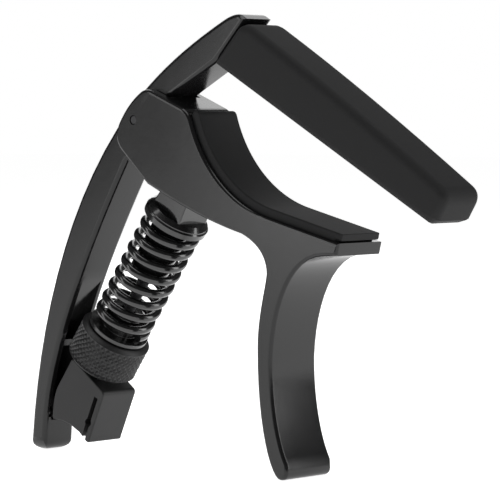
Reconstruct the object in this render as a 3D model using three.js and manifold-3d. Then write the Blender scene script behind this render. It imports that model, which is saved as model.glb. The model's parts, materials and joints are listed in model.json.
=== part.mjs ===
// Squeeze-to-open guitar capo.
// One casting, the lever, carries the rubber string bar and the thumb handle. A second
// casting, the cradle, straddles it at the pivot and carries the neck pad and the finger
// trigger. A telescoping strut with a coil spring and a knurled adjusting nut runs from the
// fork of the cradle to the foot of the lever's channel.
//
// Millimetres, +Z up, X along the capo, Y across it. The two handle tips stand on z = 0.
// Every profile is drawn in the XZ plane with the pivot axis at its origin.

import * as THREE from 'three';
import { mergeVertices } from 'three/addons/utils/BufferGeometryUtils.js';
import Module from 'manifold-3d';

const wasm = await Module();
wasm.setup();

// ---- Driving dimensions -------------------------------------------------------------

const pivotHeight = 64.6;        // pivot axis above the surface the handle tips stand on
const fitGap = 0.3;              // clearance between pieces that seat in each other
const sideGap = 0.3;             // clearance of the lever between the fork plates

const forkWidth = 12.4;          // across the cradle and the trigger
const plateThickness = 2;        // each fork plate
const forkInside = forkWidth - 2 * plateThickness;
const cradleEdge = 0.65;         // rounding along the edges of the cradle
const leverEdge = 0.9;           // rounding along the edges of the lever

const handleBack = 30.9;         // back of the thumb handle behind the pivot
const handleTipThickness = 4;
const handleTipRound = 2.6;      // corners of the handle's lower end, seen along X
const shoulder = [-7.1, -1.6];   // where the handle's back runs into the upper arm
const hubRadius = 7;             // lever material around the pivot
const handleRoot = [-4.2, -7.7]; // where the handle's front leaves the hub
const leverWidth = forkInside - 2 * sideGap;

const channelWall = 1.4;         // side walls of the handle's channel
const channelBack = 1.2;         // wall left behind the channel
const channelTop = -32;          // the channel starts this far below the pivot
const channelRamp = 41;          // direction of the ramp at the channel's top, degrees off +Z
const ribHeight = -42.8;         // cross rib in the channel
const ribThickness = 1.2;
const ribSink = 1;               // top of the rib below the channel's rim
const channelInside = leverWidth - 2 * channelWall;

const pivotPinRadius = 0.8;
const pivotGap = 0.1;            // running clearance around the pivot pin
const washerRadius = 3;
const washerThickness = 0.5;
const washerPlay = 0.1;          // on each face of a pivot washer

const barWidth = 5.6;            // string bar inside the rubber boot
const barStart = [21.4, 15.2];   // centre line of the bar
const barEnd = [67.2, -11.4];
const barStartThickness = 6;
const barEndThickness = 2.8;

const bootWidth = 10.4;
const bootEdge = 1.6;             // rounding along the boot's edges
const bootHeel = [19.3, 10.4];   // lower corner of the boot next to the arm
const bootCrown = [26.5, 18.1];  // upper corner of the boot next to the arm
const bootToe = [70.8, -18.3];   // lower corner at the free end
const bootNose = [74.4, -12.5];  // upper corner at the free end
const bootCorner = 2.6;          // these corners are rounded off from this far away
const toeCorner = 1.3;

const saddleCentre = [40, 8.4];  // centre of the hollow that takes the guitar's neck
const saddleRadius = 25;         // to the rubber's surface
const saddleStart = 195;         // degrees, upper end of the hollow
const deckTilt = 13.8;           // slope of the flat deck that follows the hollow, degrees
const deckLength = 17.3;
const padThickness = 2.4;
const rimDrop = 1.6;             // metal rim below the rubber's surface
const padWidth = 10.4;
const padEdge = 0.35;            // rounding along the rubber's edges
const deckLip = 0.2;             // metal ahead of the rubber at the deck's end
const padTail = 1.3;             // end of the rubber that lies over the metal rim
const deckPlate = 2.3;           // metal under the rim at the deck's end

const triggerBack = 31.2;        // back of the trigger blade ahead of the pivot
const bladeThickness = 3.5;
const triggerTip = 37.2;         // lowest point of the trigger ahead of the pivot

const seatPivot = [9.5, -12.6];  // strut pivot in the fork
const seatPinRadius = 1.2;
const seatBossRadius = 3.2;
const seatNotchDepth = 0.9;      // pin notch in the inner face of each fork plate
const seatRoom = 0.9;            // clearance of the seat's boss in the fork
const footPinRadius = 0.8;
const footNoseRadius = 1.2;
const footNotchDepth = 0.6;      // pin notch in each wall of the channel
const footPivotUp = 7.6;         // strut pivot above the tip of the handle
const footPivotIn = 3.4;         // strut pivot ahead of the back of the handle
const footOffset = 4.15;         // the rod's axis runs this far ahead of that pivot

const rodRadius = 1.2;
const rodPlay = 0.75;            // around the rod in its sleeve
const springRadius = 5.9;        // outside of the coils
const wireRadius = 0.85;
const springTurns = 8.5;
const closedTurns = 0.9;         // at each end
const springPlay = 0.5;          // between the coils and what stands inside them
const springGap = 0.35;          // between the end coils and their seats
const coreRadius = springRadius - 2 * wireRadius - springPlay;

const flangeRadius = 6.35;
const flangeThickness = 1;
const collarRadius = 6.05;
const collarHeight = 1.3;
const collarDrop = 5.5;          // top of the collar below the strut pivot
const sleeveLength = 12.2;       // below the flange
const boreEnd = 2.7;             // blind end of the sleeve's bore below the strut pivot
const rodEnd = 9.5;              // top of the rod below the strut pivot

const footHeight = 14.25;        // top of the pick holder above the lower strut pivot
const footWidth = 8.8;
const footWall = 1.3;
const footDeck = 2;              // top wall that the rod passes
const tongueGap = 0.3;           // between the tongue and the channel's walls
const pickSlot = 1;
const leafThickness = 1.1;
const leafLean = 11.5;           // degrees off the rod's axis
const lockNutRadius = 2.3;
const lockNutHeight = 1.8;

const nutRadius = 7;
const nutHeight = 7.8;
const nutChamfer = 0.7;
const nutLift = 1.2;             // gap between the nut and the pick holder
const washerLift = 0.3;          // gap between the nut and the thrust washer
const thrustRadius = 6;
const thrustThickness = 0.8;
const spigotHeight = 4.1;

// ---- Helpers ------------------------------------------------------------------------

const radians = THREE.MathUtils.degToRad;

// A closed outline: drawn by a function that gets the path.
function outline(draw) {
  const shape = new THREE.Shape();
  draw(shape);
  shape.closePath();
  return shape;
}

// A profile in the XZ plane carried across Y, centred on y = 0, with rounded edges.
function slab(shape, width, edge = 0, steps = 12) {
  const geometry = new THREE.ExtrudeGeometry(shape, {
    depth: width - 2 * edge,
    bevelEnabled: edge > 0,
    bevelThickness: edge,
    bevelSize: edge,
    bevelOffset: -edge,
    bevelSegments: 3,
    curveSegments: steps,
  });
  geometry.rotateX(Math.PI / 2);
  geometry.translate(0, width / 2 - edge, 0);
  return solid(geometry);
}

// A closed three.js geometry as a solid that can be cut and joined.
function solid(geometry) {
  const bare = geometry.clone();
  bare.deleteAttribute('normal');
  bare.deleteAttribute('uv');
  const merged = mergeVertices(bare, 1e-4);
  const index = merged.index.array;
  const corners = [];
  for (let i = 0; i < index.length; i += 3) {
    const [a, b, c] = [index[i], index[i + 1], index[i + 2]];
    if (a !== b && b !== c && c !== a) corners.push(a, b, c);
  }
  const vertProperties = new Float32Array(merged.attributes.position.array);
  const triVerts = new Uint32Array(corners);
  return new wasm.Manifold(new wasm.Mesh({ numProp: 3, vertProperties, triVerts }));
}

// A polygon through the given points.
function polygon(points) {
  return outline((path) => {
    path.moveTo(...points[0]);
    for (const point of points.slice(1)) path.lineTo(...point);
  });
}

// A round bar along Y through a point of the profile.
function crossBar([x, z], radius, length, sides = 32) {
  const geometry = new THREE.CylinderGeometry(radius, radius, length, sides);
  geometry.translate(x, 0, z);
  return solid(geometry);
}

// A turned piece around the local Z axis, from a closed list of [radius, height].
function turned(points, sides = 48) {
  const profile = [...points, points[0]].map(([r, h]) => new THREE.Vector2(r, h));
  const geometry = new THREE.LatheGeometry(profile, sides);
  geometry.rotateX(Math.PI / 2);
  return solid(geometry);
}

// A round bar along the local Z axis between two heights.
function upright(radius, low, high, sides = 32) {
  return turned([[0, low], [radius, low], [radius, high], [0, high]], sides);
}

function material(colour, roughness, metalness) {
  return new THREE.MeshStandardMaterial({ color: colour, roughness, metalness });
}

// A named mesh of a solid.
function piece(name, body, look) {
  const mesh = body.getMesh();
  const geometry = new THREE.BufferGeometry();
  geometry.setAttribute('position', new THREE.BufferAttribute(mesh.vertProperties, 3));
  geometry.setIndex(new THREE.BufferAttribute(mesh.triVerts, 1));
  geometry.computeVertexNormals();
  const object = new THREE.Mesh(geometry, look);
  object.name = name;
  return object;
}

// A point a distance away in a direction given in degrees from +Z towards +X.
function step([x, z], distance, degrees) {
  const angle = radians(degrees);
  return [x + distance * Math.sin(angle), z + distance * Math.cos(angle)];
}

// The point a distance away from one point in the direction of another.
function towards(from, to, distance) {
  const share = distance / Math.hypot(to[0] - from[0], to[1] - from[1]);
  return [from[0] + share * (to[0] - from[0]), from[1] + share * (to[1] - from[1])];
}

// ---- Finishes -----------------------------------------------------------------------

const enamel = material(0x161719, 0.3, 0.6);
const rubber = material(0x25282a, 0.85, 0);
const blackSteel = material(0x0d0d0e, 0.2, 0.8);
const knurlBlack = material(0x202122, 0.55, 0.7);
const steel = material(0x6b6d70, 0.35, 1);
const nylon = material(0x2a2b2c, 0.7, 0);

// ---- Strut geometry -----------------------------------------------------------------

const footPivot = [footPivotIn - handleBack, footPivotUp - pivotHeight];
const strutRun = [seatPivot[0] - footPivot[0], seatPivot[1] - footPivot[1]];
const strutSpan = Math.hypot(...strutRun);
const strutLean = Math.atan2(...strutRun) - Math.asin(footOffset / strutSpan);
const footDrop = Math.sqrt(strutSpan ** 2 - footOffset ** 2);

// Heights along the rod, measured from the upper strut pivot.
const footTop = footHeight - footDrop;
const nutBottom = footTop + nutLift;
const nutTop = nutBottom + nutHeight;
const thrustBottom = nutTop + washerLift;
const thrustTop = thrustBottom + thrustThickness;
const flangeTop = -collarDrop - collarHeight;
const flangeBottom = flangeTop - flangeThickness;

// ---- Lever --------------------------------------------------------------------------

const tipRadius = handleTipThickness / 2;
const tipHeight = tipRadius - pivotHeight;
const tipBack = [-handleBack, tipHeight];
const tipFront = [handleTipThickness - handleBack, tipHeight];
const tipCentre = [tipRadius - handleBack, tipHeight];

// Directions and pulls of the curves that run up the back and the front of the handle.
const backCurve = { tipAngle: 5, tipPull: 22.2, topAngle: 41.3, topPull: 22 };
const frontCurve = { tipAngle: 0, tipPull: 17.6, topAngle: 32, topPull: 15.7 };

function runUp(path, from, to, curve) {
  const first = step(from, curve.tipPull, curve.tipAngle);
  const second = step(to, -curve.topPull, curve.topAngle);
  path.bezierCurveTo(...first, ...second, ...to);
}

function runDown(path, from, to, curve) {
  const first = step(from, -curve.topPull, curve.topAngle);
  const second = step(to, curve.tipPull, curve.tipAngle);
  path.bezierCurveTo(...first, ...second, ...to);
}

// Everything that the round lower end of the handle leaves: carried along X.
function tipRounding() {
  const half = leverWidth / 2;
  const start = handleTipRound - pivotHeight;
  const reach = 100;
  const profile = outline((path) => {
    path.moveTo(-half - 1, reach);
    path.lineTo(-half - 1, start);
    path.lineTo(-half, start);
    path.absarc(handleTipRound - half, start, handleTipRound, Math.PI, 1.5 * Math.PI, false);
    path.absarc(half - handleTipRound, start, handleTipRound, 1.5 * Math.PI, 2 * Math.PI, false);
    path.lineTo(half + 1, start);
    path.lineTo(half + 1, reach);
  });
  return slab(profile, 2 * reach).rotate([0, 0, 90]);
}

// The string bar's outline, grown by a margin for the socket in the boot.
function barOutline(margin) {
  const run = Math.atan2(barEnd[0] - barStart[0], barEnd[1] - barStart[1]);
  const along = THREE.MathUtils.radToDeg(run);
  const root = step(barStart, -margin, along);
  const end = step(barEnd, margin, along);
  const rootHalf = barStartThickness / 2 + margin;
  const endHalf = barEndThickness / 2 + margin;
  return polygon([
    step(root, rootHalf, along + 90),
    step(end, endHalf, along + 90),
    step(end, endHalf, along - 90),
    step(root, rootHalf, along - 90),
  ]);
}

function leverArm() {
  const armTop = [20.6, 18.3];
  const crest = [23.7, 19.8];
  const armEndTop = [bootCrown[0] - fitGap, bootCrown[1] + fitGap];
  const armEndLow = [bootHeel[0] - fitGap, bootHeel[1] + fitGap];
  const elbow = [hubRadius - 0.1, 4.2];
  const arm = outline((path) => {
    path.moveTo(...tipBack);
    runUp(path, tipBack, shoulder, backCurve);
    const first = step(shoulder, 12, backCurve.topAngle);
    const second = step(armTop, -12, 64);
    path.bezierCurveTo(...first, ...second, ...armTop);
    path.quadraticCurveTo(...crest, ...towards(crest, armEndTop, 1.6));
    path.lineTo(...armEndTop);
    path.lineTo(...armEndLow);
    path.lineTo(...elbow);
    path.lineTo(elbow[0], 0);
    path.absarc(0, 0, elbow[0], 0, -radians(80), true);
    path.quadraticCurveTo(-1.6, -hubRadius, ...handleRoot);
    runDown(path, handleRoot, tipFront, frontCurve);
    path.absarc(...tipCentre, tipRadius, 0, -Math.PI, true);
  });

  // The channel in the front of the handle: an upper and a lower pocket with a rib between.
  const floorBottom = [channelBack - handleBack, tipHeight];
  const floorTop = [shoulder[0] + channelBack * 1.2, shoulder[1]];
  const outside = handleRoot[0] + 10;
  const channel = outline((path) => {
    path.moveTo(...floorBottom);
    runUp(path, floorBottom, floorTop, backCurve);
    path.lineTo(outside, floorTop[1]);
    path.lineTo(outside, floorBottom[1]);
  });
  const pocket = (low, high) => {
    const band = polygon([[-60, low], [outside, low], [outside, high], [-60, high]]);
    return slab(band, channelInside);
  };
  const hollow = slab(channel, channelInside);
  const ribLow = ribHeight - ribThickness;
  const pocketEnd = footPivot[1] - footNoseRadius - 0.5;
  const rampFoot = [-18.2, channelTop];
  const rampLow = step(rampFoot, 14, -(180 - channelRamp));
  const rampHigh = step(rampFoot, 30, channelRamp);
  const ramp = polygon([
    [rampLow[0], ribHeight], [rampHigh[0], ribHeight], rampHigh, rampLow,
  ]);
  const upper = hollow.intersect(slab(ramp, channelInside));
  const lower = hollow.intersect(pocket(pocketEnd, ribLow));
  const overRib = slab(outline((path) => {
    path.moveTo(tipFront[0] - ribSink, tipFront[1]);
    const start = [tipFront[0] - ribSink, tipFront[1]];
    const end = [handleRoot[0] - ribSink, handleRoot[1]];
    runUp(path, start, end, frontCurve);
    path.lineTo(outside, end[1]);
    path.lineTo(outside, start[1]);
  }), channelInside).intersect(pocket(ribLow - 0.1, ribHeight + 0.1));

  // Open notches in the channel's walls, where the foot pin lies.
  const notchRadius = footPinRadius + fitGap;
  const notchWidth = channelInside + 2 * footNotchDepth;
  const notch = slab(polygon([
    [footPivot[0], footPivot[1] - notchRadius],
    [footPivot[0] + 6, footPivot[1] - notchRadius],
    [footPivot[0] + 6, footPivot[1] + notchRadius],
    [footPivot[0], footPivot[1] + notchRadius],
  ]), notchWidth).add(crossBar(footPivot, notchRadius, notchWidth));

  const recessDepth = washerThickness + 2 * washerPlay - sideGap;
  const recess = crossBar([0, 0], washerRadius + fitGap, leverWidth + 2)
    .subtract(crossBar([0, 0], washerRadius + 2, leverWidth - 2 * recessDepth));

  return slab(arm, leverWidth, leverEdge)
    .intersect(tipRounding())
    .add(slab(barOutline(0), barWidth))
    .subtract(upper).subtract(lower).subtract(overRib).subtract(notch)
    .subtract(recess)
    .subtract(crossBar([0, 0], pivotPinRadius + pivotGap, leverWidth + 2));
}

function stringPad() {
  const topBow = [49, 5];
  const nearNose = towards(bootNose, topBow, bootCorner);
  const nearCrown = towards(bootCrown, topBow, bootCorner);
  const boot = outline((path) => {
    path.moveTo(...bootHeel);
    path.lineTo(...towards(bootToe, bootHeel, toeCorner));
    path.lineTo(...towards(bootToe, bootNose, toeCorner));
    path.lineTo(...towards(bootNose, bootToe, bootCorner));
    path.quadraticCurveTo(...bootNose, ...nearNose);
    path.quadraticCurveTo(...topBow, ...nearCrown);
    path.quadraticCurveTo(...bootCrown, ...towards(bootCrown, bootHeel, bootCorner));
  });
  const socket = slab(barOutline(fitGap), barWidth + 2 * fitGap);
  return slab(boot, bootWidth, bootEdge, 8).subtract(socket);
}

// ---- Cradle with fork and trigger ---------------------------------------------------

// The hollow and the deck behind it, a distance below the rubber's surface: the arc ends
// where the straight deck leaves it at a tangent.
function saddlePoints(drop) {
  const radius = saddleRadius + drop;
  const end = 270 - deckTilt;
  const arcPoint = (degrees) => [
    saddleCentre[0] + radius * Math.cos(radians(degrees)),
    saddleCentre[1] + radius * Math.sin(radians(degrees)),
  ];
  const tangent = arcPoint(end);
  return {
    radius,
    top: arcPoint(saddleStart),
    tangent,
    end: step(tangent, deckLength, 90 + deckTilt),
    from: radians(saddleStart),
    to: radians(end),
  };
}

function saddleDown(path, saddle, short = 0) {
  path.absarc(...saddleCentre, saddle.radius, saddle.from, saddle.to, false);
  path.lineTo(...step(saddle.end, short, deckTilt - 90));
}

function triggerCradle() {
  const rim = saddlePoints(rimDrop);
  const deckEnd = step(rim.end, deckLip, 90 + deckTilt);
  const deckUnder = step(deckEnd, deckPlate, 180 + deckTilt);
  const tipZ = -pivotHeight;
  const bladeFront = triggerBack + bladeThickness;
  const bladeMiddle = -43;
  const forkTop = [4.8, 5.3];
  const cornerTurn = radians(5);
  const arcStart = [
    saddleCentre[0] + rim.radius * Math.cos(rim.from + cornerTurn),
    saddleCentre[1] + rim.radius * Math.sin(rim.from + cornerTurn),
  ];
  const body = outline((path) => {
    path.moveTo(...forkTop);
    path.lineTo(...towards(rim.top, forkTop, 2));
    path.quadraticCurveTo(...rim.top, ...arcStart);
    path.absarc(...saddleCentre, rim.radius, rim.from + cornerTurn, rim.to, false);
    path.lineTo(...deckEnd);
    path.lineTo(...deckUnder);
    path.lineTo(deckUnder[0] - 3, deckUnder[1] - 0.1);
    path.bezierCurveTo(deckUnder[0] - 11, deckUnder[1] - 0.3,
      bladeFront + 0.5, bladeMiddle + 9.5, bladeFront, bladeMiddle);
    path.bezierCurveTo(bladeFront - 0.1, bladeMiddle - 7,
      bladeFront + 1.3, tipZ + 7.4, triggerTip + 1.3, tipZ + 3);
    path.lineTo(triggerTip + 1.4, tipZ + 1.6);
    path.quadraticCurveTo(triggerTip + 1.4, tipZ, triggerTip - 0.4, tipZ);
    path.bezierCurveTo(triggerTip - 2.7, tipZ,
      triggerBack - 0.1, tipZ + 9, triggerBack, bladeMiddle + 2);
    path.bezierCurveTo(triggerBack, bladeMiddle + 8, triggerBack + 2, -30, triggerBack + 2.2, -27.5);
    path.quadraticCurveTo(triggerBack + 2, -23, 27.3, -20.6);
    path.bezierCurveTo(19.3, -18.7, 11.4, -15.6, 3.4, -11.9);
    path.lineTo(-3.1, -6);
    path.quadraticCurveTo(-5.8, -3.6, -3.9, -0.4);
    path.quadraticCurveTo(-1.6, 3.2, 1.6, 5.2);
    path.quadraticCurveTo(3, 6.1, ...forkTop);
  });

  // Room for the lever and for the strut's seat between the fork plates.
  const webFace = hubRadius + 0.6;
  const roomRadius = seatBossRadius + seatRoom;
  const cavity = outline((path) => {
    path.moveTo(-14, 16);
    path.lineTo(webFace, 16);
    path.lineTo(webFace, 0);
    path.absarc(0, 0, webFace, 0, -radians(45), true);
    path.lineTo(seatPivot[0] - roomRadius * 0.7, seatPivot[1] + roomRadius * 0.7);
    path.absarc(...seatPivot, roomRadius, radians(135), 0, true);
    path.lineTo(seatPivot[0] + roomRadius, seatPivot[1] - 14);
    path.lineTo(-14, seatPivot[1] - 14);
  });

  // Pocket that the neck pad is bonded into.
  const bed = saddlePoints(padThickness);
  const over = saddlePoints(-6);
  const pocket = outline((path) => {
    path.moveTo(...bed.top);
    saddleDown(path, bed, padTail - fitGap);
    path.lineTo(...step(step(bed.end, padTail - fitGap, deckTilt - 90), 8, deckTilt));
    path.lineTo(...over.tangent);
    path.absarc(...saddleCentre, over.radius, over.to, over.from, true);
  });

  // Notches for the ends of the seat pin, open to the lower edge of the fork.
  const notchRadius = seatPinRadius + fitGap;
  const notchWidth = forkInside + 2 * seatNotchDepth;
  const notch = slab(polygon([
    [seatPivot[0] - notchRadius, seatPivot[1]],
    [seatPivot[0] - notchRadius, seatPivot[1] - 12],
    [seatPivot[0] + notchRadius, seatPivot[1] - 12],
    [seatPivot[0] + notchRadius, seatPivot[1]],
  ]), notchWidth).add(crossBar(seatPivot, notchRadius, notchWidth));

  return slab(body, forkWidth, cradleEdge)
    .subtract(slab(cavity, forkInside))
    .subtract(slab(pocket, padWidth + 2 * fitGap, 0, 20))
    .subtract(notch)
    .subtract(crossBar([0, 0], pivotPinRadius + pivotGap, forkWidth + 2));
}

function neckPad() {
  const surface = saddlePoints(0);
  const back = saddlePoints(padThickness - fitGap);
  const cornerTurn = radians(3);
  const arcStart = [
    saddleCentre[0] + surface.radius * Math.cos(surface.from + cornerTurn),
    saddleCentre[1] + surface.radius * Math.sin(surface.from + cornerTurn),
  ];
  const pad = outline((path) => {
    path.moveTo(...towards(surface.top, back.top, 1.2));
    path.quadraticCurveTo(...surface.top, ...arcStart);
    path.absarc(...saddleCentre, surface.radius, surface.from + cornerTurn, surface.to, false);
    path.lineTo(...surface.end);
    path.lineTo(...step(surface.end, fitGap - rimDrop, deckTilt));
    path.lineTo(...step(step(surface.end, fitGap - rimDrop, deckTilt), padTail, deckTilt - 90));
    path.lineTo(...step(back.end, padTail, deckTilt - 90));
    path.lineTo(...back.tangent);
    path.absarc(...saddleCentre, back.radius, back.to, back.from + 0.02, true);
  });
  return slab(pad, padWidth, padEdge, 20);
}

// ---- Strut --------------------------------------------------------------------------

function springSeat() {
  const sleeveEnd = flangeBottom - sleeveLength;
  const boreRadius = rodRadius + rodPlay;
  const body = turned([
    [0, sleeveEnd], [coreRadius - 0.4, sleeveEnd], [coreRadius, sleeveEnd + 0.4],
    [coreRadius, flangeBottom], [flangeRadius, flangeBottom], [flangeRadius, flangeTop],
    [collarRadius, flangeTop + 0.3], [collarRadius, -collarDrop - 0.8],
    [collarRadius - 0.8, -collarDrop], [0, -collarDrop],
  ]);
  const rootHalf = seatBossRadius + 0.9;
  const bossWidth = forkInside - 2 * (sideGap + 0.1);
  const boss = slab(outline((path) => {
    path.moveTo(-rootHalf, -collarDrop - 1);
    path.lineTo(rootHalf, -collarDrop - 1);
    path.lineTo(seatBossRadius, 0);
    path.absarc(0, 0, seatBossRadius, 0, Math.PI, false);
  }), bossWidth, 0.4);
  return body.add(boss)
    .subtract(upright(boreRadius, sleeveEnd - 1, -boreEnd))
    .subtract(crossBar([0, 0], seatPinRadius + fitGap, bossWidth + 2));
}

// A coil of round wire with closed ends: the angle runs evenly and the height follows the
// pitch, which is one wire and a hair at the closed turns and even between them.
class Coil extends THREE.Curve {
  constructor(low, high, radius) {
    super();
    this.low = low;
    this.radius = radius;
    this.closedPitch = 2 * wireRadius + 0.12;
    this.rise = high - low;
    const openTurns = springTurns - 2 * closedTurns;
    this.openPitch = (this.rise - 2 * closedTurns * this.closedPitch) / openTurns;
  }

  getPoint(t, target = new THREE.Vector3()) {
    const turns = t * springTurns;
    const lowTurns = Math.min(turns, closedTurns);
    const highTurns = Math.max(turns - (springTurns - closedTurns), 0);
    const openTurns = turns - lowTurns - highTurns;
    const height = (lowTurns + highTurns) * this.closedPitch + openTurns * this.openPitch;
    const angle = 2 * Math.PI * turns;
    return target.set(
      this.radius * Math.cos(angle), this.radius * Math.sin(angle), this.low + height);
  }
}

function compressionSpring() {
  const low = thrustTop + springGap + wireRadius;
  const high = flangeBottom - springGap - wireRadius;
  const coil = new Coil(low, high, springRadius - wireRadius);
  const section = outline((path) => path.absarc(0, 0, wireRadius, 0, 2 * Math.PI, false));
  const wire = new THREE.ExtrudeGeometry(section, {
    steps: Math.round(springTurns * 16), curveSegments: 4, bevelEnabled: false, extrudePath: coil,
  });
  return solid(wire);
}

function thrustWasher() {
  const spigotTop = thrustTop + spigotHeight;
  const inner = rodRadius + fitGap;
  return turned([
    [inner, thrustBottom], [thrustRadius, thrustBottom], [thrustRadius, thrustTop],
    [coreRadius, thrustTop], [coreRadius, spigotTop - 0.4], [coreRadius - 0.4, spigotTop],
    [inner, spigotTop],
  ]);
}

function adjusterNut() {
  const inner = rodRadius + fitGap;
  const waist = nutRadius - nutChamfer;
  return turned([
    [inner, nutBottom], [waist, nutBottom], [nutRadius, nutBottom + nutChamfer],
    [nutRadius, nutTop - nutChamfer], [waist, nutTop], [inner, nutTop],
  ], 64);
}

function threadedRod() {
  const low = footTop - footDeck - lockNutHeight - 1.4;
  const chamfer = 0.4;
  return turned([
    [0, low], [rodRadius - chamfer, low], [rodRadius, low + chamfer],
    [rodRadius, -rodEnd - chamfer], [rodRadius - chamfer, -rodEnd], [0, -rodEnd],
  ], 24);
}

function lockNut() {
  const high = footTop - footDeck - 0.2;
  const inner = rodRadius + fitGap;
  return upright(lockNutRadius, high - lockNutHeight, high, 6)
    .subtract(upright(inner, high - lockNutHeight - 1, high + 1, 24));
}

function pickHolder() {
  const top = footTop;
  const lean = 180 - leafLean;
  const leafTop = [7.6, top - 0.9];
  const leafFoot = step(leafTop, 9, lean);
  const block = outline((path) => {
    path.moveTo(-3.4, top - 0.8);
    path.quadraticCurveTo(-3.4, top, -2.6, top);
    path.lineTo(leafTop[0] - 1, top);
    path.quadraticCurveTo(leafTop[0] - 0.1, top, ...leafTop);
    path.lineTo(...leafFoot);
    path.quadraticCurveTo(leafFoot[0] + 0.5, leafFoot[1] - 1.1, leafFoot[0] - 0.6, leafFoot[1] - 1.1);
    path.lineTo(6.4, top - 10.6);
    path.lineTo(3.7, top - 11);
    path.lineTo(1.5, top - 11.8);
    path.lineTo(-0.8, top - 13.2);
    path.quadraticCurveTo(-3.4, top - 9.5, -3.4, top - 6.8);
  });

  // The slot that a plectrum slides into, with a relief hole halfway.
  const slotTop = step(step(leafTop, 0.9, lean), leafThickness, lean + 90);
  const slotFar = step(slotTop, 12, lean);
  const slotEnd = step(slotTop, 5.4, lean);
  const slot = slab(polygon([
    slotTop, slotFar, step(slotFar, pickSlot, lean + 90), step(slotTop, pickSlot, lean + 90),
  ]), footWidth + 2).add(crossBar(step(slotEnd, pickSlot / 2, lean + 90), 0.8, footWidth + 2));
  const bead = crossBar(step(leafFoot, leafThickness, lean + 90), 0.55, footWidth - 0.8, 20);

  // Hollow under the top wall, open below, with the lock nut in it.
  const hollow = slab(polygon([
    [-3.4 + footWall, top - footDeck], [4.2, top - footDeck], [4.2, top - 16],
    [-3.4 + footWall, top - 16],
  ]), footWidth - 2 * footWall);

  // The tongue in the lever's channel ends in a round nose on the foot pin.
  const nose = [-footOffset, -footDrop];
  const tongueWidth = channelInside - 2 * tongueGap;
  const tongue = slab(polygon([
    [-3.2, top - 5], [-3.4 + footWall, top - 5], [-3.4 + footWall, top - 12.6],
    [nose[0] + 0.8, nose[1] - 0.85], [nose[0] - 0.85, nose[1] - 0.8], [nose[0] - 1.1, nose[1] + 0.5],
  ]), tongueWidth).add(crossBar(nose, footNoseRadius, tongueWidth));

  return slab(block, footWidth, 0.3, 8)
    .subtract(hollow)
    .add(tongue)
    .subtract(slot)
    .add(bead)
    .subtract(upright(rodRadius + fitGap, top - footDeck - 1, top + 1, 24))
    .subtract(crossBar(nose, footPinRadius + fitGap, footWidth));
}

// ---- Assembly -----------------------------------------------------------------------

const washerOffset = forkInside / 2 - washerPlay - washerThickness / 2;

function pivotWasher(side) {
  return crossBar([0, 0], washerRadius, washerThickness, 40)
    .subtract(crossBar([0, 0], pivotPinRadius + pivotGap, washerThickness + 2))
    .translate([0, side * washerOffset, 0]);
}

const strut = new THREE.Group();
strut.position.set(seatPivot[0], 0, seatPivot[1]);
strut.rotation.y = strutLean;
strut.add(
  piece('spring_seat', springSeat(), blackSteel),
  piece('compression_spring', compressionSpring(), blackSteel),
  piece('thrust_washer', thrustWasher(), blackSteel),
  piece('adjuster_nut', adjusterNut(), knurlBlack),
  piece('threaded_rod', threadedRod(), steel),
  piece('rod_lock_nut', lockNut(), steel),
  piece('pick_holder', pickHolder(), nylon),
);

const seatPinLength = forkInside + 2 * seatNotchDepth - 2 * 0.15;
const footPinLength = channelInside + 2 * footNotchDepth - 2 * 0.15;
const capo = new THREE.Group();
capo.add(
  piece('lever_arm', leverArm(), enamel),
  piece('string_pad', stringPad(), rubber),
  piece('pivot_pin', crossBar([0, 0], pivotPinRadius, forkWidth - 0.2), steel),
  piece('pivot_washer_near', pivotWasher(-1), nylon),
  piece('pivot_washer_far', pivotWasher(1), nylon),
  piece('trigger_cradle', triggerCradle(), enamel),
  piece('neck_pad', neckPad(), rubber),
  piece('seat_pin', crossBar(seatPivot, seatPinRadius, seatPinLength), steel),
  piece('foot_pin', crossBar(footPivot, footPinRadius, footPinLength), steel),
  strut,
);

// The origin is the middle of the bottom of the box around the whole capo.
const box = new THREE.Box3().setFromObject(capo, true);
capo.position.set(-(box.min.x + box.max.x) / 2, 0, -box.min.z);

const object = new THREE.Group();
object.add(capo);

export default object;
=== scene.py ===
"""Looks of a squeeze-to-open guitar capo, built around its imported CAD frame, in metres."""

import json
import math

import bmesh
import bpy
import numpy as np
from mathutils import Matrix, Vector


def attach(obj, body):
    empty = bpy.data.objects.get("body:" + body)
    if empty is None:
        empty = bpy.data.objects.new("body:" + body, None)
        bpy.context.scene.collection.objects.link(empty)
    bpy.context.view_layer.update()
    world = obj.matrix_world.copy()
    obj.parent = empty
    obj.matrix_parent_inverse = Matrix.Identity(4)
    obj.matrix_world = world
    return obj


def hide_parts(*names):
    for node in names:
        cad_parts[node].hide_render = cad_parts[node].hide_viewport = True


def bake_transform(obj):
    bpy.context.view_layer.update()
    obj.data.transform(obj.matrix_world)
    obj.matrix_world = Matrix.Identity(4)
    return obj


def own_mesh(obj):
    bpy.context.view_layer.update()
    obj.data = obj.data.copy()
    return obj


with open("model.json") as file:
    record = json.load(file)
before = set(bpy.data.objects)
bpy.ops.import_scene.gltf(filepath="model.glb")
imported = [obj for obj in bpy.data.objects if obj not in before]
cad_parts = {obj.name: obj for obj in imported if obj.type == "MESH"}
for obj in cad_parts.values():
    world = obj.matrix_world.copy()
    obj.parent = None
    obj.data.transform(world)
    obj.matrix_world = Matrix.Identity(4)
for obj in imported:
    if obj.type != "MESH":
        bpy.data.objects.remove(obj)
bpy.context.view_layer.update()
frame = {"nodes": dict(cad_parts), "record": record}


# ---- Camera, floor and light ----------------------------------------------------------
# A long lens looks along the capo from its free end and slightly above. The capo stands
# on a plain white floor between large soft boxes.

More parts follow.
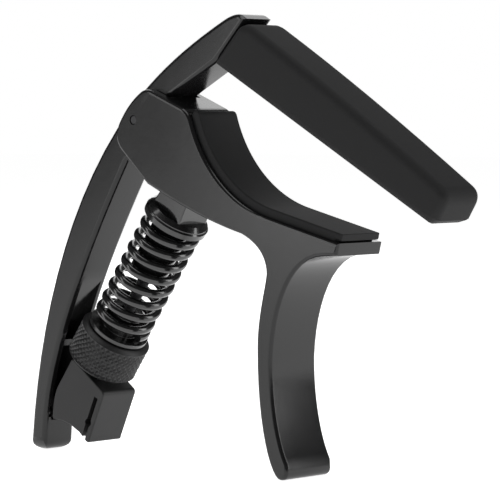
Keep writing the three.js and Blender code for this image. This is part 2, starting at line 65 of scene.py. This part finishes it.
FLOOR_SIZE = 6.0
CAMERA_AZIMUTH = math.radians(42.6)
CAMERA_ELEVATION = math.radians(2.8)
CAMERA_DISTANCE = 0.51
CAMERA_LENS = 200.16
SENSOR = 36.0
AIM_AHEAD = 0.02405   # the point looked at, ahead of the pivot
AIM_BELOW = 0.0238    # and below it

joints = {joint["name"]: joint for joint in frame["record"]["behaviour"]["joints"]}
pivot = Vector(joints["trigger_squeeze"]["pos_m"])
aim = pivot + Vector((AIM_AHEAD, 0.0, -AIM_BELOW))


def look(obj, place, target):
    """Turns a camera or light that looks along its own -Z so that it faces a target."""
    turn = (Vector(target) - Vector(place)).to_track_quat("-Z", "Y").to_matrix().to_4x4()
    obj.matrix_world = Matrix.Translation(place) @ turn


outward = Vector((
    math.sin(CAMERA_AZIMUTH) * math.cos(CAMERA_ELEVATION),
    -math.cos(CAMERA_AZIMUTH) * math.cos(CAMERA_ELEVATION),
    math.sin(CAMERA_ELEVATION),
))
lens = bpy.data.cameras.new("camera")
lens.lens = CAMERA_LENS
lens.sensor_width = SENSOR
lens.clip_start = 0.01
lens.clip_end = 20.0
camera = bpy.data.objects.new("camera", lens)
bpy.context.scene.collection.objects.link(camera)
look(camera, aim + CAMERA_DISTANCE * outward, aim)
bpy.context.scene.camera = camera


def soft_box(name, place, width, height, power):
    """A rectangular area light that faces the middle of the capo."""
    light = bpy.data.lights.new(name, "AREA")
    light.shape = "RECTANGLE"
    light.size = width
    light.size_y = height
    light.energy = power
    obj = bpy.data.objects.new(name, light)
    bpy.context.scene.collection.objects.link(obj)
    look(obj, Vector(place), aim)


soft_box("box_left", (-0.45, -0.60, 0.30), 0.16, 0.8, 1.1)
soft_box("box_right", (0.55, 0.42, 0.30), 0.22, 0.6, 1.6)
soft_box("box_top", (0.05, 0.0, 0.80), 0.7, 0.5, 2.5)
soft_box("box_back", (-0.5, 0.5, 0.45), 0.5, 0.6, 1.5)

ROOM_LIGHT = 0.08        # what the room gives off, against the white behind the capo
world = bpy.data.worlds.new("studio")
world.use_nodes = True
studio = world.node_tree
backdrop = studio.nodes["Background"]
backdrop.inputs["Color"].default_value = (1.0, 1.0, 1.0, 1.0)
seen = studio.nodes.new("ShaderNodeLightPath")
strength = studio.nodes.new("ShaderNodeMapRange")
strength.inputs["To Min"].default_value = ROOM_LIGHT
strength.inputs["To Max"].default_value = 1.0
studio.links.new(seen.outputs["Is Camera Ray"], strength.inputs["Value"])
studio.links.new(strength.outputs["Result"], backdrop.inputs["Strength"])
bpy.context.scene.world = world
bpy.context.scene.view_settings.view_transform = "Standard"

floor_mesh = bpy.data.meshes.new("floor")
half = FLOOR_SIZE / 2
floor_mesh.from_pydata(
    [(-half, -half, 0), (half, -half, 0), (half, half, 0), (-half, half, 0)], [], [(0, 1, 2, 3)])
floor = bpy.data.objects.new("floor", floor_mesh)
bpy.context.scene.collection.objects.link(floor)


# ---- Lever casting --------------------------------------------------------------------
# One die casting: handle with a channel in its front, hub and upper arm, with the string
# bar inside the rubber boot. Black enamel with a faint orange peel and duller patches.

EDGE_ANGLE = math.radians(38)    # sharper corners than this are shaded as corners
EDGE_BEVEL = 0.00012
FLAT_ANGLE = math.radians(0.4)   # faces nearer to flat than this are joined
MERGE_DISTANCE = 1e-7


class Value:
    """A shader value; arithmetic on it adds Math nodes."""

    def __init__(self, shader, socket):
        self.shader = shader
        self.socket = socket

    def maths(self, operation, other, flipped=False):
        first, second = (other, self) if flipped else (self, other)
        return self.shader.node("ShaderNodeMath", {"operation": operation}, {0: first, 1: second})

    def __add__(self, other):
        return self.maths("ADD", other)

    def __radd__(self, other):
        return self.maths("ADD", other, True)

    def __sub__(self, other):
        return self.maths("SUBTRACT", other)

    def __rsub__(self, other):
        return self.maths("SUBTRACT", other, True)

    def __mul__(self, other):
        return self.maths("MULTIPLY", other)

    def __rmul__(self, other):
        return self.maths("MULTIPLY", other, True)


class Shader:
    """A material with a Principled shader whose sockets take numbers, colours or values."""

    def __init__(self, name):
        self.material = bpy.data.materials.new(name)
        self.material.use_nodes = True
        self.tree = self.material.node_tree
        self.surface = self.tree.nodes["Principled BSDF"]
        self.place = self.node("ShaderNodeTexCoord", {}, {}, "Object")

    def feed(self, socket, value):
        if isinstance(value, Value):
            self.tree.links.new(value.socket, socket)
        else:
            socket.default_value = value

    def node(self, kind, settings, inputs, output=0):
        made = self.tree.nodes.new(kind)
        for key, value in settings.items():
            setattr(made, key, value)
        for key, value in inputs.items():
            self.feed(made.inputs[key], value)
        return Value(self, made.outputs[output])

    def noise(self, size, detail=3.0, rough=0.55):
        """Noise from 0 to 1 with blotches of about the given size in metres."""
        inputs = {"Vector": self.place, "Scale": 1 / size, "Detail": detail, "Roughness": rough}
        return self.node("ShaderNodeTexNoise", {}, inputs)

    def bump(self, height, depth):
        """A normal from a height from 0 to 1 that stands for a depth in metres."""
        inputs = {"Height": height, "Distance": depth, "Strength": 1.0}
        return self.node("ShaderNodeBump", {}, inputs)

    def mix(self, share, low, high):
        """A colour between two, by a share from 0 to 1."""
        inputs = {"Factor": share, "A": low, "B": high}
        return self.node("ShaderNodeMix", {"data_type": "RGBA"}, inputs, 2)

    def finish(self, **sockets):
        for key, value in sockets.items():
            self.feed(self.surface.inputs[key.replace("_", " ")], value)
        return self.material


def grey(level):
    return (level, level, level * 1.03, 1.0)


def enamel_material():
    """Black enamel: even, slightly rippled, with faint rubbed patches."""
    shader = Shader("black_enamel")
    rubbed = shader.noise(0.012)
    ripple = shader.noise(0.0016, 2.0)
    return shader.finish(
        Base_Color=shader.mix(rubbed, grey(0.006), grey(0.010)),
        Roughness=0.13 + rubbed * 0.09,
        Normal=shader.bump(ripple, 0.000006),
        Metallic=0.0,
        IOR=1.43,
    )


def paint(obj, material):
    """Gives an object one material through its own material slots."""
    if not obj.data.materials:
        obj.data.materials.append(None)
    for place in obj.material_slots:
        place.link = "OBJECT"
        place.material = material


def put(name, mesh, body, material):
    """A finished mesh as a named piece that rides on a body."""
    obj = bpy.data.objects.new(name, mesh)
    bpy.context.scene.collection.objects.link(obj)
    paint(obj, material)
    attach(obj, body)
    return obj


def dressed(name, node, body, material, bevel=EDGE_BEVEL, angle=EDGE_ANGLE):
    """A copy of a CAD piece with merged points and broken edges, that stands for the piece.
    It is shaded smooth except across corners sharper than the angle."""
    work = bmesh.new()
    work.from_mesh(frame["nodes"][node].data)
    bmesh.ops.remove_doubles(work, verts=work.verts, dist=MERGE_DISTANCE)
    bmesh.ops.dissolve_limit(
        work, angle_limit=FLAT_ANGLE, verts=work.verts, edges=work.edges)
    for face in work.faces:
        face.smooth = True
    for edge in work.edges:
        edge.smooth = edge.is_manifold and edge.calc_face_angle() < angle
    mesh = bpy.data.meshes.new(name)
    work.to_mesh(mesh)
    work.free()
    mesh.materials.append(material)
    obj = put(name, mesh, body, material)
    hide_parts(node)
    if bevel > 0:
        rounding = obj.modifiers.new("edges", "BEVEL")
        rounding.width = bevel
        rounding.segments = 2
        rounding.limit_method = "ANGLE"
        rounding.angle_limit = angle
        rounding.harden_normals = True
        rounding.use_clamp_overlap = True
    weights = obj.modifiers.new("flats", "WEIGHTED_NORMAL")
    weights.keep_sharp = True
    weights.weight = 100
    return obj


enamel = enamel_material()
dressed("lever_casting", "lever_arm", "lever", enamel)


# ---- Rubber boot on the string bar ----------------------------------------------------
# A moulded sleeve of matte black rubber, pushed over the bar, with rounded edges and a
# fine grain.


def rubber_material():
    """Matte rubber: fine grain, a little dust in broad patches."""
    shader = Shader("matte_rubber")
    dust = shader.noise(0.02)
    grain = shader.noise(0.0003, 4.0)
    return shader.finish(
        Base_Color=shader.mix(dust, grey(0.010), grey(0.016)),
        Roughness=0.66 + dust * 0.16,
        Specular_IOR_Level=0.32,
        Normal=shader.bump(grain, 0.000012),
        Metallic=0.0,
        IOR=1.45,
    )


rubber = rubber_material()
dressed("rubber_boot", "string_pad", "lever", rubber)


# ---- Cradle with fork and trigger -----------------------------------------------------
# The second die casting, in the same enamel: two fork plates round the lever, the saddle
# for the neck pad and the long finger blade.

dressed("cradle_casting", "trigger_cradle", "trigger", enamel)


# ---- Neck pad -------------------------------------------------------------------------
# A moulded strip of the same rubber, bonded into the saddle so that the guitar's neck is
# not marked.

dressed("saddle_pad", "neck_pad", "trigger", rubber)


# ---- Pivot, pins and washers ----------------------------------------------------------
# Plain steel pins, blackened, and thin nylon washers on each side of the lever's hub.


def dark_steel_material():
    """Blackened steel with fine scratches."""
    shader = Shader("blackened_steel")
    wear = shader.noise(0.0011)
    return shader.finish(
        Base_Color=shader.mix(wear, grey(0.03), grey(0.07)),
        Roughness=0.28 + wear * 0.2,
        Normal=shader.bump(wear, 0.000004),
        Metallic=0.9,
    )


def nylon_material():
    """Moulded nylon: dark grey, satin, with a faint spark-eroded grain."""
    shader = Shader("moulded_nylon")
    cloud = shader.noise(0.004)
    grain = shader.noise(0.00022, 3.0)
    return shader.finish(
        Base_Color=shader.mix(cloud, grey(0.008), grey(0.013)),
        Roughness=0.38 + cloud * 0.14,
        Normal=shader.bump(grain, 0.000008),
        Metallic=0.0,
        IOR=1.42,
    )


dark_steel = dark_steel_material()
nylon = nylon_material()
dressed("pivot_rivet", "pivot_pin", "lever", dark_steel)
for node in ("seat_pin", "foot_pin", "rod_lock_nut"):
    paint(frame["nodes"][node], dark_steel)
for node in ("pivot_washer_near", "pivot_washer_far"):
    paint(frame["nodes"][node], nylon)


# ---- Spring seat and thrust washer ----------------------------------------------------
# Turned steel, gloss black: the seat swings in the fork, the washer rests on the nut.


def gloss_black_material():
    """Gloss black plating with slight waves."""
    shader = Shader("gloss_black")
    wave = shader.noise(0.003)
    return shader.finish(
        Base_Color=shader.mix(wave, grey(0.006), grey(0.010)),
        Roughness=0.13 + wave * 0.10,
        Normal=shader.bump(wave, 0.000008),
        Metallic=0.0,
        Coat_Weight=0.4,
        Coat_Roughness=0.06,
        IOR=1.55,
    )


gloss_black = gloss_black_material()
dressed("turned_seat", "spring_seat", "seat", gloss_black)
dressed("turned_washer", "thrust_washer", "nut_carriage", gloss_black)


# ---- Coil spring ----------------------------------------------------------------------
# Round wire, gloss black, with closed ends. The lower turns stay put, and the upper
# turns ride on the strut.

TURNS = 8.5
CLOSED_TURNS = 0.9         # at each end
CLOSED_PITCH = 0.00182     # one wire and a hair
WIRE = 0.00085             # radius of the wire
COIL_STEPS = 44            # rings in each turn
WIRE_STEPS = 16            # points in each ring
SPLIT_TURN = 4.0           # where the lower piece ends and the upper one starts
SQUEEZE_TRAVEL = 0.00588   # how much a full squeeze shortens the spring

axis_point = np.array(joints["nut_spin"]["pos_m"], float)
axis_up = np.array(joints["nut_spin"]["axis"], float)
axis_up /= np.linalg.norm(axis_up)
axis_side = np.array([0.0, 1.0, 0.0])
axis_front = np.cross(axis_side, axis_up)


def along(node):
    """Lowest and highest place of a CAD node along the strut's axis, and its outer radius."""
    points = np.array([v.co for v in frame["nodes"][node].data.vertices], float) - axis_point
    heights = points @ axis_up
    radii = np.linalg.norm(points - np.outer(heights, axis_up), axis=1)
    return heights.min(), heights.max(), radii.max()


def to_row(front, side, up):
    """Places in the row frame from coordinates in front of, beside and up the strut's axis."""
    return (axis_point + front[..., None] * axis_front + side[..., None] * axis_side
            + up[..., None] * axis_up)


def grid_mesh(name, points, wrap_rows=False, caps=False):
    """A mesh over a grid of points that closes round its columns and, if asked, its rows;
    caps close the first and last rows with one polygon each."""
    rows, columns = points.shape[:2]
    index = np.arange(rows * columns).reshape(rows, columns)
    lower = index if wrap_rows else index[:-1]
    upper = np.roll(index, -1, 0) if wrap_rows else index[1:]
    quads = np.stack([lower, np.roll(lower, -1, 1), np.roll(upper, -1, 1), upper], -1)
    faces = quads.reshape(-1, 4).tolist()
    if caps:
        faces += [index[0][::-1].tolist(), index[-1].tolist()]
    mesh = bpy.data.meshes.new(name)
    mesh.from_pydata(points.reshape(-1, 3).tolist(), [], faces)
    work = bmesh.new()
    work.from_mesh(mesh)
    bmesh.ops.remove_doubles(work, verts=work.verts, dist=1e-8)
    bmesh.ops.recalc_face_normals(work, faces=work.faces)
    for edge in work.edges:
        edge.smooth = edge.is_manifold and edge.calc_face_angle() < EDGE_ANGLE
    for face in work.faces:
        face.smooth = True
    work.to_mesh(mesh)
    work.free()
    return mesh


def coil_mesh(name, first, last):
    """The wire between two turn counts, and the height of its centre line at each step: a
    circle carried along a helix with a close pitch in the end turns, even between them."""
    low, high, radius = along("compression_spring")
    bottom = low + WIRE
    rise = high - low - 2 * WIRE
    open_pitch = (rise - 2 * CLOSED_TURNS * CLOSED_PITCH) / (TURNS - 2 * CLOSED_TURNS)
    turns = np.linspace(first, last, int(round((last - first) * COIL_STEPS)) + 1)
    ends = np.minimum(turns, CLOSED_TURNS) + np.maximum(turns - TURNS + CLOSED_TURNS, 0)
    height = bottom + ends * CLOSED_PITCH + (turns - ends) * open_pitch
    angle = 2 * np.pi * turns
    round_wire = np.linspace(0, 2 * np.pi, WIRE_STEPS, endpoint=False)
    reach = radius - WIRE + WIRE * np.cos(round_wire)[None, :]
    front = reach * np.cos(angle)[:, None]
    side = reach * np.sin(angle)[:, None]
    up = height[:, None] + WIRE * np.sin(round_wire)[None, :]
    return grid_mesh(name, to_row(front, side, up), caps=True), height


lower_mesh, lower_heights = coil_mesh("spring_lower", 0.0, SPLIT_TURN)
upper_mesh, upper_heights = coil_mesh("spring_upper", SPLIT_TURN, TURNS)
split_point = axis_point + axis_up * upper_heights[0]
foot_point = axis_point + axis_up * lower_heights[0]

spring_lower = bpy.data.objects.new("spring_lower", lower_mesh)
bpy.context.scene.collection.objects.link(spring_lower)
paint(spring_lower, gloss_black)
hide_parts("compression_spring")
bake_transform(spring_lower)

spring_upper = put("spring_upper", upper_mesh, "strut", gloss_black)
upper_length = upper_heights[-1] - upper_heights[0]
float(1 - SQUEEZE_TRAVEL / upper_length)
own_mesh(spring_upper)


# ---- Knurled adjusting nut ------------------------------------------------------------
# A turned steel ring with a diamond knurl rolled into its rim, blacked. Its ends are
# chamfered, and it turns on the rod's thread.

KNURLS = 36               # diamonds round the rim
KNURL_DEPTH = 0.00032
KNURL_SHARPNESS = 1.5
KNURL_FADE = 0.4          # share of the chamfer over which the grooves run out
KNURL_COLUMNS = 10
KNURL_ROWS = 56
NUT_CHAMFER = 0.0007
NUT_BORE = 0.0015
FACE_ROUND = 0.0004       # from the flat end face to the rim
FACE_DROP = 0.00004


def knurl_material():
    """Chemically blacked steel of a slightly uneven tone."""
    shader = Shader("blacked_knurl")
    wear = shader.noise(0.0008)
    return shader.finish(
        Base_Color=shader.mix(wear, grey(0.010), grey(0.024)),
        Roughness=0.36 + wear * 0.18,
        Normal=shader.bump(wear, 0.000004),
        Metallic=0.25,
        IOR=1.5,
    )


def triangle_wave(phase):
    """A wave from 0 to 1 and back over each whole unit of the phase."""
    return np.abs(2 * (phase - np.floor(phase)) - 1)


def nut_mesh():
    """Rings from the bore over the lower face, the knurled rim and the upper face back to
    the bore. The rim's radius drops by the deeper of two crossed families of helical
    grooves, whose depth fades out at the chamfers."""
    low, high, radius = along("adjuster_nut")
    columns = KNURLS * KNURL_COLUMNS
    angle = np.linspace(0, 2 * np.pi, columns, endpoint=False)
    rim_low = low + NUT_CHAMFER
    rim_high = high - NUT_CHAMFER
    rim = np.linspace(rim_low, rim_high, KNURL_ROWS)
    pitch = 2 * np.pi * radius / KNURLS
    across = (angle / (2 * np.pi) * KNURLS)[None, :]
    rise = ((rim - rim_low) / pitch)[:, None]
    groove = np.maximum(triangle_wave(across + rise), triangle_wave(across - rise))
    from_end = np.minimum(rim - rim_low, rim_high - rim)
    fade = np.minimum(1, from_end / (KNURL_FADE * NUT_CHAMFER))[:, None]
    rim_radius = radius - KNURL_DEPTH * fade * groove ** KNURL_SHARPNESS
    waist = radius - NUT_CHAMFER
    shoulder_radius = waist - FACE_ROUND
    before = [(NUT_BORE, low), (shoulder_radius, low), (waist, low + FACE_DROP)]
    after = [(waist, high - FACE_DROP), (shoulder_radius, high), (NUT_BORE, high)]
    radii = np.concatenate([
        np.outer([r for r, _ in before], np.ones(columns)), rim_radius,
        np.outer([r for r, _ in after], np.ones(columns)),
    ])
    heights = np.concatenate([[h for _, h in before], rim, [h for _, h in after]])
    up = np.repeat(heights[:, None], columns, 1)
    return grid_mesh("knurled_nut", to_row(radii * np.cos(angle), radii * np.sin(angle), up),
                     wrap_rows=True)


knurl_black = knurl_material()
nut = put("knurled_nut", nut_mesh(), "nut", knurl_black)
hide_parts("adjuster_nut")


# ---- Threaded rod ---------------------------------------------------------------------
# Steel rod with a rolled fine thread, blackened. It is fixed in the pick holder's top wall
# and slides in the seat's sleeve.

THREAD_PITCH = 0.0005
THREAD_DEPTH = 0.00018
THREAD_ROWS = 8           # rings in each pitch
ROD_COLUMNS = 28
END_TAPER = 0.0004        # length of the taper at each end
END_SHARE = 0.75          # radius at the very end, as a share


def rod_mesh():
    """Rings up the rod whose radius falls with a wave that climbs one pitch per turn; the
    ends taper and are closed with a flat cap."""
    low, high, radius = along("threaded_rod")
    rows = int((high - low) / THREAD_PITCH * THREAD_ROWS)
    height = np.linspace(low, high, rows)
    angle = np.linspace(0, 2 * np.pi, ROD_COLUMNS, endpoint=False)
    phase = height[:, None] / THREAD_PITCH - angle[None, :] / (2 * np.pi)
    reach = radius - THREAD_DEPTH * triangle_wave(phase)
    ends = np.minimum(1, np.minimum(height - low, high - height) / END_TAPER)[:, None]
    reach = reach * (END_SHARE + (1 - END_SHARE) * ends)
    up = np.repeat(height[:, None], ROD_COLUMNS, 1)
    return grid_mesh("thread", to_row(reach * np.cos(angle), reach * np.sin(angle), up), caps=True)


rod = put("thread", rod_mesh(), "strut", dark_steel)
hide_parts("threaded_rod")


# ---- Pick holder ----------------------------------------------------------------------
# A moulded nylon block on the foot of the rod, with a spring leaf that holds a plectrum
# and a tongue that swings on the foot pin in the lever's channel.

dressed("moulded_pick_holder", "pick_holder", "strut", nylon, bevel=0.00008)


# ---- Floor material -------------------------------------------------------------------
# Plain white card under the capo.


def card_material():
    """White card with a barely visible tooth."""
    shader = Shader("white_card")
    tooth = shader.noise(0.004)
    return shader.finish(
        Base_Color=shader.mix(tooth, (0.88, 0.88, 0.88, 1.0), (0.92, 0.92, 0.92, 1.0)),
        Roughness=0.85,
        Emission_Color=(1.0, 1.0, 1.0, 1.0),
        Emission_Strength=0.92,
    )


paint(floor, card_material())
